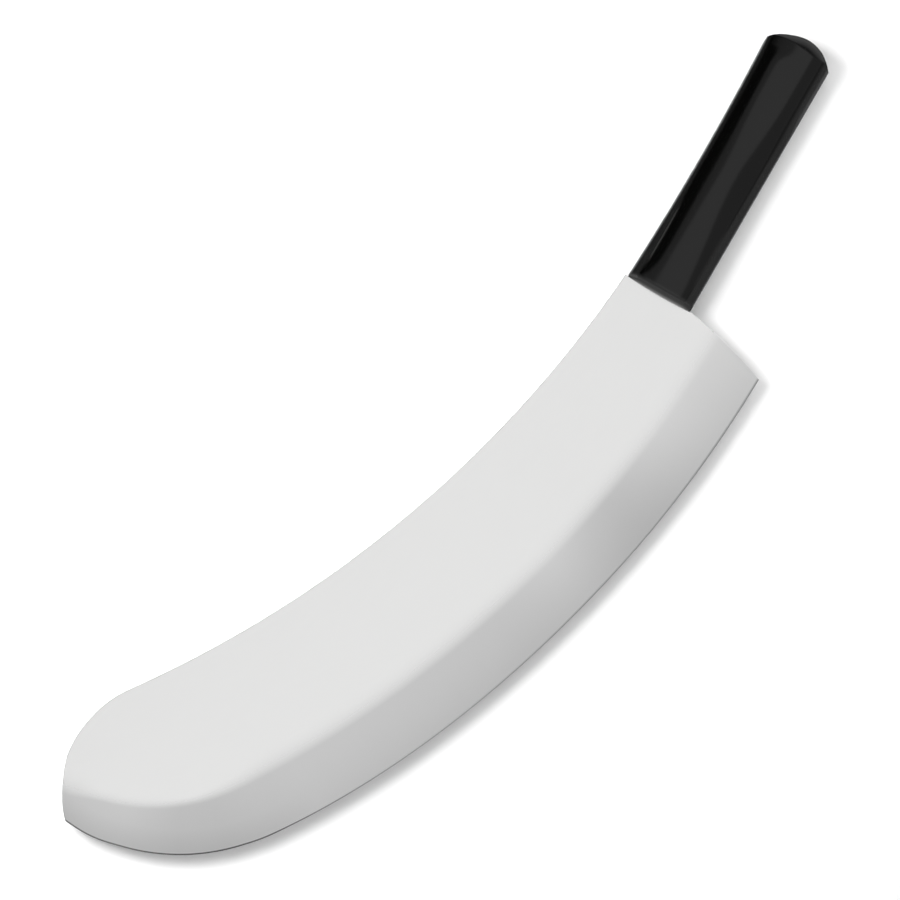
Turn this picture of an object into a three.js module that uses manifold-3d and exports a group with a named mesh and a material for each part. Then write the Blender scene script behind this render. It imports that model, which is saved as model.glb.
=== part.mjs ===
// A mincing knife: a broad crescent blade that rocks on its belly, with a black handle moulded over its tang.
// Millimetres, +Z up. The knife lies on its side: +X runs from the toe to the butt, +Y from the edge to the spine.
// It is drawn about the point where the handle's axis leaves the handle's front, then set down on z = 0.
import * as THREE from "three";
import { mergeVertices } from "three/addons/utils/BufferGeometryUtils.js";
import Module from "manifold-3d";

// Blade, in millimetres and degrees.
const bladeReach = 362; // handle front to the farthest point of the toe, along the handle's axis
const bladeThickness = 3.5;
const spineRadius = 567; // hollow curve of the back
const spineTilt = 4.1; // angle between the spine and the handle's axis where the two meet
const spineStep = 1.4; // spine above the handle's upper side where the two meet
const heelDrop = 45; // heel corner below the handle's lower side
const heelSetback = 13; // heel corner ahead of the handle's front
const bellyRadius = 578; // the long curve that rocks on the board
const bellyTilt = 1; // angle between the belly and the handle's axis at the heel
const toeRadius = 100; // tighter curve at the end of the belly
const noseRadius = 53; // round from the toe up to the spine
const tipRise = 5.5; // sharp tip corner above the toe curve's centre
const easedEdge = 0.4; // chamfer that takes the sharp corner off the stamped outline

// Grinding, the same on both sides.
const bevelWidth = 29; // wide bevel along the belly
const tipBevelWidth = 17.5; // the same bevel at the tip corner
const lastBevelWidth = 8; // the same bevel one bevel width past the tip, where it would run out
const bevelLand = 0.7; // thickness that the wide bevel would leave at the outline
const honedWidth = 1.2; // narrow sharpened bevel along the edge
const honedLand = 0.2; // thickness left at the cutting edge itself

// Handle.
const handleLength = 141; // front to the crown of the butt
const handleWidth = 34.3;
const handleThickness = 22;
const waistDepth = 1.75; // hollow of the upper side between the handle's ends
const buttRise = 8.2; // arch of the butt past its two corners
const frontBow = 0.8; // bow of the handle's front on to the sides of the blade
const waistPlace = 66; // roundest section of the grip, behind the handle's front
const swellPlace = 110; // where the grip has swelled to its section at the butt
const crestFront = -3.6; // crest of the broad faces above the handle's axis, at the front
const crestWaist = -0.4; // at the waist
const crestButt = -0.9; // and at the butt
const fullnessFront = 3; // power by which the broad faces drop to their creases, 2 is round and more is flatter
const fullnessWaist = 2; // at the waist
const fullnessButt = 3.3; // and at the butt
const faceDrop = 3; // drop of the broad faces from their crest to their creases
const guardDrop = 0.8; // the same at the front's lower crease, where the first finger lies
const upperFlankFront = 4.2; // upper flank from the outline in to the crease, at the front
const upperFlankWaist = 2.5; // at the waist
const upperFlankButt = 2.3; // and at the butt
const lowerFlankFront = 4.8; // lower flank from the outline in to the crease, at the front
const lowerFlankWaist = 4.2; // at the waist
const lowerFlankButt = 3.5; // and at the butt
const flankSlope = 42; // angle between a flank and the blade's plane where the flank meets the crease
const endRound = 4.5; // how far the rounded front and butt lean in
const endRise = 5.7; // height over which they lean in
const endOver = 0.2; // how far past the crown of the faces their rounding would close
const partingLand = 0.6; // straight band round the mould's parting line

// Tang, one piece with the blade, and the moulding that locks round it.
const tangSideWall = 7; // plastic between the tang's sides and the handle's sides
const tangEndWall = 29; // plastic between the tang's end and the crown of the butt
const tangEndRadius = 7;
const lockHoleCount = 3; // the moulding flows through these and cannot slip
const lockHoleDiameter = 9;
const lockHoleInset = 22; // first and last hole from the tang's two ends
const mouldClearance = 0.3;

// Facets.
const longArcSteps = 40;
const shortArcSteps = 24;
const roundSteps = 8;
const weldDistance = 1e-4;

const wasm = await Module();
wasm.setup();

// Closed geometry as a solid that can be joined and cut.
function solidOf(geometry) {
  const bare = geometry.clone();
  bare.deleteAttribute("normal");
  bare.deleteAttribute("uv");
  const merged = mergeVertices(bare, weldDistance);
  return new wasm.Manifold(
    new wasm.Mesh({
      numProp: 3,
      vertProperties: new Float32Array(merged.attributes.position.array),
      triVerts: new Uint32Array(merged.index.array),
    }),
  );
}

// A solid back as three.js geometry.
function geometryOf(solid) {
  const mesh = solid.getMesh();
  const geometry = new THREE.BufferGeometry();
  geometry.setAttribute("position", new THREE.BufferAttribute(mesh.vertProperties, 3));
  geometry.setIndex(new THREE.BufferAttribute(mesh.triVerts, 1));
  geometry.computeVertexNormals();
  return geometry;
}

// Points of the shorter arc about a centre, from one point to another, both included.
function arc(centre, from, to, steps) {
  const radius = from.distanceTo(centre);
  const start = Math.atan2(from.y - centre.y, from.x - centre.x);
  const end = Math.atan2(to.y - centre.y, to.x - centre.x);
  const sweep = Math.atan2(Math.sin(end - start), Math.cos(end - start));
  return Array.from({ length: steps + 1 }, (_, i) => {
    const angle = start + (sweep * i) / steps;
    return new THREE.Vector2(Math.cos(angle), Math.sin(angle)).multiplyScalar(radius).add(centre);
  });
}

// Points of an arc through two ends, bulging by rise to the left of the way from one to the other.
function bowedLine(from, to, rise, steps) {
  const along = to.clone().sub(from);
  const halfChord = along.length() / 2;
  const left = new THREE.Vector2(-along.y, along.x).normalize();
  const radius = (halfChord ** 2 + rise ** 2) / (2 * Math.abs(rise));
  const middle = from.clone().add(to).multiplyScalar(0.5);
  const centre = middle.addScaledVector(left, rise - Math.sign(rise) * radius);
  return arc(centre, from, to, steps);
}

// The meeting point of two circles that lies to the right of the way from the first centre to the second.
function circlesMeet(centreA, radiusA, centreB, radiusB) {
  const between = centreB.clone().sub(centreA);
  const distance = between.length();
  const along = (radiusA ** 2 - radiusB ** 2 + distance ** 2) / (2 * distance);
  const across = Math.sqrt(radiusA ** 2 - along ** 2);
  const unit = between.divideScalar(distance);
  const right = new THREE.Vector2(unit.y, -unit.x);
  return centreA.clone().addScaledVector(unit, along).addScaledVector(right, across);
}

// A point of a circle in the direction of another point.
function towards(centre, radius, target) {
  return target.clone().sub(centre).setLength(radius).add(centre);
}

// A circle of the given radius that passes through a point where its tangent is tilted by an angle from the axis.
function centreAbove(point, radius, tilt) {
  const angle = THREE.MathUtils.degToRad(tilt);
  return new THREE.Vector2(Math.sin(angle), Math.cos(angle)).multiplyScalar(radius).add(point);
}

// Flat outline made solid, centred on z = 0, with its rim rounded in by inset over the last rise of its height.
function plate(shape, thickness, { rise, inset, steps } = { rise: 0, inset: 0, steps: 0 }) {
  const geometry = new THREE.ExtrudeGeometry(shape, {
    depth: thickness - 2 * rise,
    bevelEnabled: rise > 0,
    bevelThickness: rise,
    bevelSize: inset,
    bevelOffset: -inset,
    bevelSegments: steps,
    curveSegments: shortArcSteps / 2,
  });
  return geometry.translate(0, 0, rise - thickness / 2);
}

// Closed skin over a row of rings that have the same number of points.
function loft(rings) {
  const sides = rings[0].length;
  const index = [];
  for (let ring = 0; ring + 1 < rings.length; ring++) {
    for (let i = 0; i < sides; i++) {
      const a = ring * sides + i;
      const b = ring * sides + ((i + 1) % sides);
      index.push(a, b, a + sides, b, b + sides, a + sides);
    }
  }
  const last = (rings.length - 1) * sides;
  for (let i = 1; i + 1 < sides; i++) {
    index.push(0, i + 1, i, last, last + i, last + i + 1);
  }
  return new THREE.BufferGeometry().setFromPoints(rings.flat()).setIndex(index);
}

const handleHalf = handleWidth / 2;
const tangLength = handleLength - tangEndWall;
const tangHalf = handleHalf - tangSideWall;

// The corners and arc centres of the blade's outline.
function bladePoints() {
  const heel = new THREE.Vector2(-heelSetback, -handleHalf - heelDrop);
  const spineStart = new THREE.Vector2(0, handleHalf + spineStep);
  const belly = centreAbove(heel, bellyRadius, bellyTilt);
  const spine = centreAbove(spineStart, spineRadius, spineTilt);
  const toeX = toeRadius - bladeReach;
  const toeY = belly.y - Math.sqrt((bellyRadius - toeRadius) ** 2 - (belly.x - toeX) ** 2);
  const toe = new THREE.Vector2(toeX, toeY);
  const tip = new THREE.Vector2(toeX - Math.sqrt(toeRadius ** 2 - tipRise ** 2), toeY + tipRise);
  const nose = circlesMeet(tip, noseRadius, spine, spineRadius + noseRadius);
  return {
    heel,
    tip,
    spineStart,
    toeStart: towards(belly, bellyRadius, toe),
    noseEnd: towards(spine, spineRadius, nose),
    centres: { belly, toe, nose, spine },
  };
}

const flat = bladePoints();
const toeCurve = arc(flat.centres.toe, flat.tip, flat.toeStart, shortArcSteps);
const bellyCurve = arc(flat.centres.belly, flat.toeStart, flat.heel, longArcSteps);

// The tang's sides and rounded end, from its lower root to its upper root, grown all round by clearance.
function tangSide(clearance, root) {
  const half = tangHalf + clearance;
  const end = tangLength + clearance;
  const radius = Math.min(tangEndRadius + clearance, half);
  const corner = (side) => new THREE.Vector2(end - radius, side * (half - radius));
  const beside = (side) => corner(side).add(new THREE.Vector2(0, side * radius));
  const behind = (side) => corner(side).add(new THREE.Vector2(radius, 0));
  return [
    new THREE.Vector2(root, -half),
    ...arc(corner(-1), beside(-1), behind(-1), roundSteps),
    ...arc(corner(1), behind(1), beside(1), roundSteps),
    new THREE.Vector2(root, half),
  ];
}

// Round holes along the tang, as paths to cut out of an outline.
function lockHoles(radius) {
  const pitch = (tangLength - 2 * lockHoleInset) / (lockHoleCount - 1);
  return Array.from({ length: lockHoleCount }, (_, i) => {
    return new THREE.Path().absarc(lockHoleInset + i * pitch, 0, radius, 0, 2 * Math.PI, true);
  });
}

// The stamped blank: blade and tang in one, with the lock holes through the tang.
function bladeBlank() {
  const outline = new THREE.Shape([
    ...toeCurve,
    ...bellyCurve.slice(1),
    new THREE.Vector2(0, -handleHalf),
    ...tangSide(0, 0),
    ...arc(flat.centres.spine, flat.spineStart, flat.noseEnd, longArcSteps),
    ...arc(flat.centres.nose, flat.noseEnd, flat.tip, longArcSteps).slice(1, -1),
  ]);
  outline.holes = lockHoles(lockHoleDiameter / 2);
  return solidOf(plate(outline, bladeThickness, { rise: easedEdge, inset: easedEdge, steps: 1 }));
}

// The cutting edge from past the tip to past the heel: points, inward normals and the wide bevel's width.
function edgeStations() {
  const station = (point, centre, width) => {
    return { point, inward: centre.clone().sub(point).normalize(), width };
  };
  const stations = [
    ...toeCurve.map((point, i) => {
      const width = THREE.MathUtils.lerp(tipBevelWidth, bevelWidth, i / shortArcSteps);
      return station(point, flat.centres.toe, width);
    }),
    ...bellyCurve.slice(1).map((point) => station(point, flat.centres.belly, bevelWidth)),
  ];
  const overrun = ({ point, inward }, way, width) => {
    const onward = new THREE.Vector2(inward.y, -inward.x).multiplyScalar(way * bevelWidth);
    return { point: point.clone().add(onward), inward, width };
  };
  return [
    overrun(stations[0], -1, lastBevelWidth),
    ...stations,
    overrun(stations.at(-1), 1, bevelWidth),
  ];
}

// What a grinding wheel takes off one side: all that lies above a ramp from the ground width down to the land.
function grinding(stations, side, widthOf, topOf, land) {
  const clear = bladeThickness;
  const rings = stations.map((station) => {
    const width = widthOf(station);
    const slope = (topOf(station) - land) / (2 * width);
    const at = (inset, height) => {
      const { x, y } = station.point.clone().addScaledVector(station.inward, inset);
      return new THREE.Vector3(x, y, side * height);
    };
    const ramp = (inset) => at(inset, land / 2 + slope * inset);
    const outer = -honedWidth;
    const inner = width + honedWidth;
    const ring = [ramp(inner), at(inner, clear), at(outer, clear), ramp(outer)];
    return side > 0 ? ring : ring.reverse();
  });
  return solidOf(loft(rings));
}

// Blade: the blank with its wide bevel and honed edge ground on both sides.
function blade() {
  const stations = edgeStations();
  const wide = (station) => station.width;
  const honed = () => honedWidth;
  const full = () => bladeThickness;
  const behindEdge = (station) => {
    return bevelLand + ((bladeThickness - bevelLand) * honedWidth) / station.width;
  };
  let solid = bladeBlank();
  for (const side of [1, -1]) {
    solid = solid.subtract(grinding(stations, side, wide, full, bevelLand));
    solid = solid.subtract(grinding(stations, side, honed, behindEdge, honedLand));
  }
  return solid;
}

// A size that changes smoothly along the grip, from the front over the waist to the butt.
function alongGrip(x, front, waist, butt) {
  const { lerp, smoothstep } = THREE.MathUtils;
  const ahead = lerp(front, waist, smoothstep(x, 0, waistPlace));
  return lerp(ahead, butt, smoothstep(x, waistPlace, swellPlace));
}

// One flank of a handle section: straight up from the parting line, then leaning in to the crease.
function flankCurve(outline, crease, height) {
  const foot = partingLand / 2;
  const lean = Math.abs(outline - crease) * Math.tan(THREE.MathUtils.degToRad(flankSlope));
  const knee = new THREE.Vector2(outline, Math.max(foot, height - lean));
  const ends = [new THREE.Vector2(outline, foot), new THREE.Vector2(crease, height)];
  return new THREE.CubicBezierCurve(ends[0], knee, knee, ends[1]).getPoints(roundSteps);
}

// A section across the handle: upper flank, crowned face and lower flank, and the same again underneath.
function handleSection(x) {
  const shoulder = handleLength - buttRise;
  const fromWaist = (2 * x) / shoulder - 1;
  const upperSide = handleHalf - waistDepth * (1 - fromWaist ** 2);
  const upperCrease = upperSide - alongGrip(x, upperFlankFront, upperFlankWaist, upperFlankButt);
  const lowerCrease = alongGrip(x, lowerFlankFront, lowerFlankWaist, lowerFlankButt) - handleHalf;
  const crest = alongGrip(x, crestFront, crestWaist, crestButt);
  const fullness = alongGrip(x, fullnessFront, fullnessWaist, fullnessButt);
  const lowerDrop = alongGrip(x, guardDrop, faceDrop, faceDrop);
  const faceHeight = (y) => {
    const [drop, crease] = y > crest ? [faceDrop, upperCrease] : [lowerDrop, lowerCrease];
    return handleThickness / 2 - drop * ((y - crest) / (crease - crest)) ** fullness;
  };
  const face = Array.from({ length: shortArcSteps - 1 }, (_, i) => {
    const y = THREE.MathUtils.lerp(upperCrease, lowerCrease, (i + 1) / shortArcSteps);
    return new THREE.Vector2(y, faceHeight(y));
  });
  const upper = flankCurve(upperSide, upperCrease, faceHeight(upperCrease));
  const lower = flankCurve(-handleHalf, lowerCrease, faceHeight(lowerCrease));
  const top = [...upper, ...face, ...lower.reverse()];
  const under = top.toReversed().map(({ x: y, y: z }) => new THREE.Vector2(y, -z));
  return [...top, ...under].map(({ x: y, y: z }) => new THREE.Vector3(x, y, z));
}

// The grip as one long bar, drawn out past both ends of the handle.
function handleBar() {
  const overrun = handleHalf;
  return solidOf(
    loft(
      Array.from({ length: shortArcSteps + 1 }, (_, i) => {
        return handleSection(THREE.MathUtils.lerp(-overrun, handleLength + overrun, i / shortArcSteps));
      }),
    ),
  );
}

// All that lies to the left of a curve which runs straight on past both ends, rounded in towards both faces.
function endWall(curve) {
  const reach = handleLength;
  const onward = (end, inner) => end.clone().sub(inner).setLength(reach).add(end);
  const before = onward(curve[0], curve[1]);
  const after = onward(curve.at(-1), curve.at(-2));
  const along = after.clone().sub(before);
  const left = new THREE.Vector2(-along.y, along.x).setLength(2 * reach);
  const room = new THREE.Shape([before, ...curve, after, after.clone().add(left), before.clone().add(left)]);
  const height = handleThickness + 2 * endOver;
  const rise = Math.min(endRise, (height - partingLand) / 2);
  return solidOf(plate(room, height, { rise, inset: endRound, steps: roundSteps }));
}

// The arched butt and the bowed front, each with all the room on the handle's side of it.
function handleEnds() {
  const shoulder = handleLength - buttRise;
  const corner = (x, side) => new THREE.Vector2(x, side * handleHalf);
  const butt = bowedLine(corner(shoulder, -1), corner(shoulder, 1), -buttRise, shortArcSteps);
  const front = bowedLine(corner(mouldClearance, 1), corner(mouldClearance, -1), -frontBow, shortArcSteps);
  return [endWall(butt), endWall(front)];
}

// The room for the tang and the blade's shoulders, with plugs of the moulding left through the lock holes.
function tangPocket() {
  const ahead = -2 * frontBow;
  const beside = 2 * handleHalf;
  const pocket = new THREE.Shape([
    new THREE.Vector2(ahead, -beside),
    new THREE.Vector2(mouldClearance, -beside),
    ...tangSide(mouldClearance, mouldClearance),
    new THREE.Vector2(mouldClearance, beside),
    new THREE.Vector2(ahead, beside),
  ]);
  pocket.holes = lockHoles(lockHoleDiameter / 2 - mouldClearance);
  return solidOf(plate(pocket, bladeThickness + 2 * mouldClearance));
}

// Handle: the bar between its rounded ends, moulded over the tang.
function handle() {
  const [butt, front] = handleEnds();
  return handleBar().intersect(butt).intersect(front).subtract(tangPocket());
}

const steel = new THREE.MeshStandardMaterial({ color: 0xd4d5d4, metalness: 1, roughness: 0.32 });
const plastic = new THREE.MeshStandardMaterial({ color: 0x141414, metalness: 0, roughness: 0.25 });

const knife = new THREE.Group();
const pieces = { blade: [blade(), steel], handle: [handle(), plastic] };
for (const [name, [solid, material]] of Object.entries(pieces)) {
  const mesh = new THREE.Mesh(geometryOf(solid), material);
  mesh.name = name;
  knife.add(mesh);
}

// Set down on z = 0 with the middle of its length and width over the origin.
const extent = new THREE.Box3().setFromObject(knife);
const middle = extent.getCenter(new THREE.Vector3());
knife.position.set(-middle.x, -middle.y, -extent.min.z);

const part = new THREE.Group();
part.add(knife);
export default part;
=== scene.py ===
"""Looks of a mincing knife: a satin-ground crescent blade with a black handle moulded over its tang.

Metres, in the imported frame: +X runs from the toe to the butt, +Y from the edge to the spine and +Z off the
blade's side. Points of the blade's plane are complex numbers, x + iy.
"""

import cmath
import logging
import math
from collections.abc import Callable, Iterable, Mapping, Sequence
from dataclasses import dataclass
from enum import Enum
from functools import cached_property
from typing import Any

import bmesh
import bpy
import numpy as np
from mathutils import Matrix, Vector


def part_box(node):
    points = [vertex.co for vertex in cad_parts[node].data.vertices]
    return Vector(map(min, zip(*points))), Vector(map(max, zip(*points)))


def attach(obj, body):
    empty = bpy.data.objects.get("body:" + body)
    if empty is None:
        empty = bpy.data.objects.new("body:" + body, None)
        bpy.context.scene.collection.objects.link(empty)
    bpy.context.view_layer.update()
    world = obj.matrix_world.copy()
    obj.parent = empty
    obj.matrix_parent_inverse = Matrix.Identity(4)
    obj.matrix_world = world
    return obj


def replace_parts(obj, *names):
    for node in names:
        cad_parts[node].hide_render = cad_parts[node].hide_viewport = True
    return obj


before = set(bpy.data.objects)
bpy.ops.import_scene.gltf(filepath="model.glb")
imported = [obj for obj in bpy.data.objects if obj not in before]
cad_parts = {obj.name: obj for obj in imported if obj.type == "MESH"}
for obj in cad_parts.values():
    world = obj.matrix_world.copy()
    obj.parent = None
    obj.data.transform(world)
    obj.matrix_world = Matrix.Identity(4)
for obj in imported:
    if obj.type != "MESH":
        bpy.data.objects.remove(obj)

LOG = logging.getLogger("mincing_knife")
BODY = "root"
Colour = tuple[float, float, float, float]
Triple = tuple[float, float, float]
Pair = tuple[float, float]
Vertex = bmesh.types.BMVert
# Noise swings about this value.
NOISE_MEAN = 0.5
# A rounded corner lies this part of its reach below the sharp corner.
CORNER_CUT = 1 / 6


class Side(Enum):
    """The knife's two broad sides as it lies."""

    UPPER = 1
    LOWER = -1


class Slot(Enum):
    """The record's material slots."""

    BLADE_STEEL = "blade_steel"
    HANDLE_PLASTIC = "handle_plastic"


class Field:
    """A value that varies over a surface, held as an output socket. Arithmetic on it adds Math nodes."""

    def __init__(self, plan: "Plan", socket: bpy.types.NodeSocket) -> None:
        """Keeps the socket and the plan that it belongs to."""
        self.plan = plan
        self.socket = socket

    def __add__(self, other: "Field | float") -> "Field":
        """Sum."""
        return self.plan.math("ADD", self, other)

    def __radd__(self, other: float) -> "Field":
        """Sum with a number on the left."""
        return self.plan.math("ADD", other, self)

    def __sub__(self, other: "Field | float") -> "Field":
        """Difference."""
        return self.plan.math("SUBTRACT", self, other)

    def __rsub__(self, other: float) -> "Field":
        """Difference from a number on the left."""
        return self.plan.math("SUBTRACT", other, self)

    def __mul__(self, other: "Field | float") -> "Field":
        """Product."""
        return self.plan.math("MULTIPLY", self, other)

    def __rmul__(self, other: float) -> "Field":
        """Product with a number on the left."""
        return self.plan.math("MULTIPLY", other, self)

    def __truediv__(self, other: "Field | float") -> "Field":
        """Quotient."""
        return self.plan.math("DIVIDE", self, other)

    def __neg__(self) -> "Field":
        """The value with its sign turned."""
        return self.plan.math("MULTIPLY", self, -1.0)

    def at_most(self, other: "Field | float") -> "Field":
        """The lesser of the two."""
        return self.plan.math("MINIMUM", self, other)

    def at_least(self, other: "Field | float") -> "Field":
        """The greater of the two."""
        return self.plan.math("MAXIMUM", self, other)

    def share(self) -> "Field":
        """The value kept between 0 and 1."""
        return self.at_least(0.0).at_most(1.0)


class Plan:
    """A node tree that is written from Python, for a finish or for geometry."""

    def __init__(self, tree: bpy.types.NodeTree) -> None:
        """Empties the tree and keeps it."""
        tree.nodes.clear()
        self.tree = tree

    @staticmethod
    def _find(sockets: Sequence[bpy.types.NodeSocket], key: str | int) -> bpy.types.NodeSocket:
        """Finds a socket.

        Args:
            sockets: a node's inputs or outputs.
            key: place, identifier or name.

        Returns:
            The first socket that fits the key.
        """
        if isinstance(key, int):
            return sockets[key]
        by_identifier = [socket for socket in sockets if socket.identifier == key]
        return by_identifier[0] if by_identifier else sockets[key]

    def node(
        self,
        kind: str,
        settings: Mapping[str, Any] | None = None,
        sockets: Mapping[str | int, Any] | None = None,
    ) -> bpy.types.Node:
        """Adds a node.

        Args:
            kind: the node's type.
            settings: properties, set first.
            sockets: values or links of the inputs, by place, identifier or name.

        Returns:
            The new node.
        """
        made = self.tree.nodes.new(kind)
        for name, value in (settings or {}).items():
            setattr(made, name, value)
        for key, value in (sockets or {}).items():
            socket = self._find(made.inputs, key)
            if isinstance(value, Field):
                self.tree.links.new(value.socket, socket)
            else:
                socket.default_value = value
        return made

    def field(
        self,
        kind: str,
        settings: Mapping[str, Any] | None = None,
        sockets: Mapping[str | int, Any] | None = None,
        output: str | int = 0,
    ) -> Field:
        """Adds a node for one of its outputs.

        Args:
            kind: the node's type.
            settings: properties, set first.
            sockets: values or links of the inputs.
            output: place, identifier or name of the output.

        Returns:
            That output.
        """
        return Field(self, self._find(self.node(kind, settings, sockets).outputs, output))

    def math(self, operation: str, *values: "Field | float") -> Field:
        """Adds a Math node.

        Args:
            operation: Blender's name for it.
            values: what it works on, in order.

        Returns:
            Its result.
        """
        return self.field("ShaderNodeMath", {"operation": operation}, dict(enumerate(values)))

    def vector(self, x: "Field | float", y: "Field | float", z: "Field | float" = 0.0) -> Field:
        """A vector from its three parts."""
        return self.field("ShaderNodeCombineXYZ", None, {0: x, 1: y, 2: z})

    def parts(self, vector: Field) -> tuple[Field, Field, Field]:
        """The three parts of a vector."""
        made = self.node("ShaderNodeSeparateXYZ", None, {0: vector})
        x, y, z = (Field(self, socket) for socket in made.outputs)
        return x, y, z

    def measure(self, operation: str, first: Field, second: "Field | Sequence[float]") -> Field:
        """A number that Vector Math gets from two vectors, such as their distance."""
        return self.field("ShaderNodeVectorMath", {"operation": operation}, {0: first, 1: second}, "Value")

    def mix(self, share: "Field | float", first: Any, second: Any) -> Field:
        """A colour part way from the first to the second."""
        sockets = {"Factor_Float": share, "A_Color": first, "B_Color": second}
        return self.field("ShaderNodeMix", {"data_type": "RGBA"}, sockets, "Result_Color")

    def noise(self, place: Field, scale: float = 1.0, detail: float = 2.0) -> Field:
        """Smooth noise between 0 and 1 over a place."""
        sockets = {"Vector": place, "Scale": scale, "Detail": detail}
        return self.field("ShaderNodeTexNoise", None, sockets)

    def attribute(self, name: str) -> Field:
        """A value that the mesh keeps for each vertex."""
        return self.field("ShaderNodeAttribute", {"attribute_name": name}, None, "Fac")

    def bump(self, strength: float, distance: float, height: Field) -> Field:
        """Normals of a finely uneven surface."""
        sockets = {"Strength": strength, "Distance": distance, "Height": height}
        return self.field("ShaderNodeBump", None, sockets, "Normal")

    def surface(self, shader: str, sockets: Mapping[str, Any]) -> None:
        """Ends a finish in a shader."""
        self.node("ShaderNodeOutputMaterial", None, {"Surface": self.field(shader, None, sockets)})


class GeometryPlan(Plan):
    """A geometry node tree with named inputs for its sizes."""

    SOCKETS = {float: "NodeSocketFloat", int: "NodeSocketInt", tuple: "NodeSocketVector"}

    def __init__(self, name: str, sizes: Mapping[str, float | int | Triple]) -> None:
        """Makes the tree with one input for each size.

        Args:
            name: the tree's name.
            sizes: input names and their values.
        """
        super().__init__(bpy.data.node_groups.new(name, "GeometryNodeTree"))
        interface = self.tree.interface
        interface.new_socket("Geometry", in_out="OUTPUT", socket_type="NodeSocketGeometry")
        interface.new_socket("Geometry", in_out="INPUT", socket_type="NodeSocketGeometry")
        self.sizes = dict(sizes)
        self.identifiers: dict[str, str] = {}
        for size, value in self.sizes.items():
            made = interface.new_socket(size, in_out="INPUT", socket_type=self.SOCKETS[type(value)])
            self.identifiers[size] = made.identifier
        self.entry = self.node("NodeGroupInput")

    def size(self, name: str) -> Field:
        """One of the tree's inputs."""
        return Field(self, self._find(self.entry.outputs, name))

    def close(self, geometry: Field, finish: bpy.types.Material) -> None:
        """Ends the tree in real geometry that wears the finish.

        Args:
            geometry: what the tree has made.
            finish: the material that it gets.
        """
        real = self.field("GeometryNodeRealizeInstances", None, {"Geometry": geometry})
        dressed = self.field("GeometryNodeSetMaterial", None, {"Geometry": real, "Material": finish})
        self.node("NodeGroupOutput", None, {"Geometry": dressed})

    def run(self, piece: bpy.types.Object) -> None:
        """Replaces a piece's mesh by what the tree makes of it.

        Args:
            piece: the object whose mesh goes into the tree.
        """
        modifier = piece.modifiers.new(self.tree.name, "NODES")
        modifier.node_group = self.tree
        for name, value in self.sizes.items():
            modifier[self.identifiers[name]] = value
        settle(piece)


def settle(piece: bpy.types.Object) -> None:
    """Makes the result of a piece's modifiers its plain mesh.

    Args:
        piece: the object, which loses its modifiers.
    """
    graph = bpy.context.evaluated_depsgraph_get()
    made = bpy.data.meshes.new_from_object(
        piece.evaluated_get(graph), preserve_all_data_layers=True, depsgraph=graph
    )
    piece.modifiers.clear()
    piece.data = made
    made.name = piece.name


def new_piece(name: str, mesh: bpy.types.Mesh) -> bpy.types.Object:
    """Puts a mesh into the scene.

    Args:
        name: the object's name.
        mesh: its mesh.

    Returns:
        The object, at the origin.
    """
    piece = bpy.data.objects.new(name, mesh)
    bpy.context.scene.collection.objects.link(piece)
    return piece


def shade(mesh: bpy.types.Mesh, crease: float) -> None:
    """Shades a mesh smoothly, apart from edges sharper than the crease, in degrees."""
    mesh.polygons.foreach_set("use_smooth", [True] * len(mesh.polygons))
    mesh.set_sharp_from_angle(angle=math.radians(crease))


def arc(centre: complex, start: complex, end: complex, steps: int) -> np.ndarray:
    """Points of the shorter arc between two points, both included."""
    turn = cmath.phase((end - centre) / (start - centre))
    return centre + (start - centre) * np.exp(1j * turn * np.linspace(0.0, 1.0, steps + 1))


def new_finish(name: str) -> tuple[bpy.types.Material, Plan]:
    """Makes an empty material.

    Args:
        name: the material's name.

    Returns:
        The material and the plan of its tree.
    """
    material = bpy.data.materials.new(name)
    material.use_nodes = True
    return material, Plan(material.node_tree)


def circles_meet(first: complex, first_radius: Any, second: complex, second_radius: float) -> Any:
    """Finds where two circles meet.

    Args:
        first: the first circle's centre.
        first_radius: its radius, or several.
        second: the second circle's centre.
        second_radius: its radius.

    Returns:
        The meeting points to the right of the way from the first centre to the second.
    """
    gap = abs(second - first)
    along = (first_radius**2 - second_radius**2 + gap**2) / (2 * gap)
    across = np.sqrt(first_radius**2 - along**2)
    return first + (second - first) / gap * (along - 1j * across)


def ease(share: np.ndarray) -> np.ndarray:
    """A share that starts and ends gently, kept between 0 and 1."""
    kept = np.clip(share, 0.0, 1.0)
    return kept**2 * (3 - 2 * kept)


def soft_min(first: np.ndarray, second: np.ndarray, reach: float) -> np.ndarray:
    """The lesser of two heights, with the corner between them rounded over the reach."""
    near = np.maximum(reach - np.abs(first - second), 0.0) / reach
    return np.minimum(first, second) - near**3 * reach * CORNER_CUT


def hump(share: Any) -> Any:
    """A gentle rise from 0 to 1 and back to 0 over a share, for numbers and for fields."""
    rise = 4 * share * (1 - share)
    return rise * rise


def titled(owner: Any, names: str) -> dict[str, float]:
    """An owner's sizes by their names in plain words, such as Bevel Width for bevel_width."""
    return {name.replace("_", " ").title(): getattr(owner, name) for name in names.split()}


def flat_vector(point: complex) -> Triple:
    """A point of the blade's plane as a vector."""
    return point.real, point.imag, 0.0


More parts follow.
